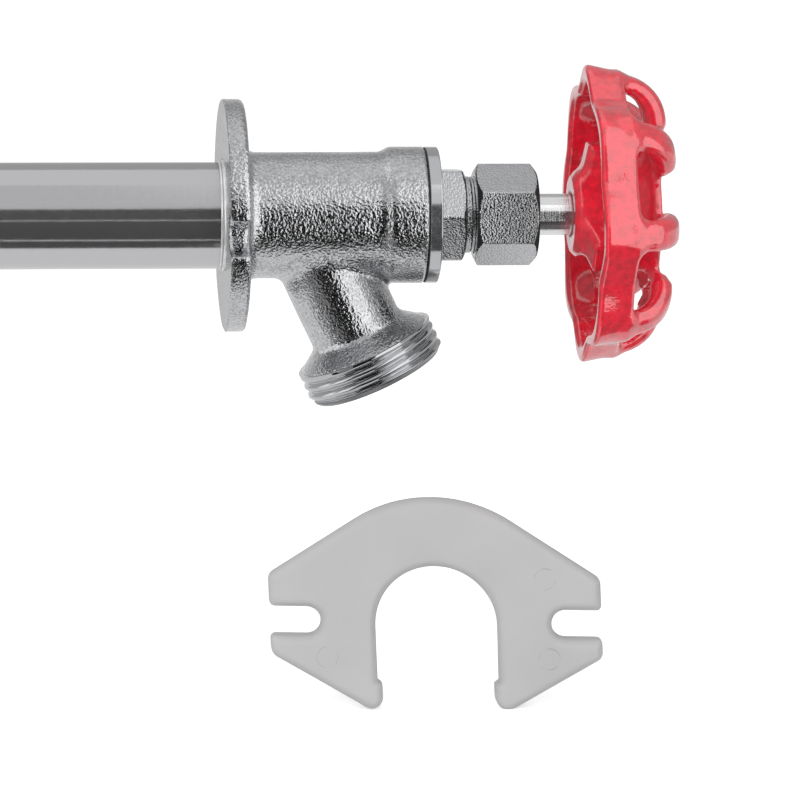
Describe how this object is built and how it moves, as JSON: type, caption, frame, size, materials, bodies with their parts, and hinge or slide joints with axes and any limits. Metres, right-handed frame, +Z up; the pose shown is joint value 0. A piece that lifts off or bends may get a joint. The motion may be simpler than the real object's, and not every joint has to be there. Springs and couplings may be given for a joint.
{
  "type": "frost free sillcock",
  "caption": "Wall tap with a long supply tube, an inner valve seat, a tilted hose outlet, a scalloped red handwheel and a loose wall wedge.",
  "frame": {"origin": "centre of the wall flange's rear face, on the tube's axis", "axes": "+X out of the wall along the stem to the handwheel, +Z up, the outlet leans towards +X as it goes down"},
  "size_m": [0.1855, 0.0576, 0.1254],
  "materials": {
    "plated_casting": "sand cast brass, nickel plated without polishing",
    "plated_machined": "turned brass, nickel plated",
    "chromed_tube": "polished and chromed tube",
    "plated_stem": "drawn rod, plated",
    "bare_brass": "machined brass",
    "bare_steel": "zinc plated steel",
    "solder": "soft solder, wiped",
    "black_rubber": "moulded rubber",
    "graphite_packing": "pressed graphite yarn",
    "red_enamel": "dipped gloss enamel on a casting",
    "grey_plastic": "moulded plastic, satin"
  },
  "bodies": {
    "body": {"body": "plated_casting", "tube": "chromed_tube", "solder_ring_wall": "solder", "solder_ring_inlet": "solder", "inlet_fitting": "bare_brass", "bonnet": "plated_machined", "bonnet_gasket": "black_rubber", "packing_nut": "plated_machined", "packing_gland": "bare_brass", "stem_packing": "graphite_packing", "packing_washer": "bare_brass", "wall_wedge": "grey_plastic"},
    "seat_disc": {"washer_holder": "bare_brass", "seat_washer": "black_rubber"},
    "stem": {"stem": "plated_stem", "stem_rod": "bare_brass", "washer_screw": "bare_brass", "handwheel": "red_enamel", "handwheel_washer": "bare_steel", "handwheel_screw": "bare_steel"}
  },
  "joints": [
    {"name": "stem_travel", "type": "slide", "parent": "body", "child": "seat_disc", "axis": [1, 0, 0], "range_m": [0, 0.00635]},
    {"name": "handwheel_turn", "type": "hinge", "parent": "seat_disc", "child": "stem", "pos_m": [0, 0, 0], "axis": [1, 0, 0], "range_deg": [0, 1080]}
  ],
  "couplings": [
    {"joint": "stem_travel", "follows": "handwheel_turn", "m_per_rad": 0.00033688}
  ]
}
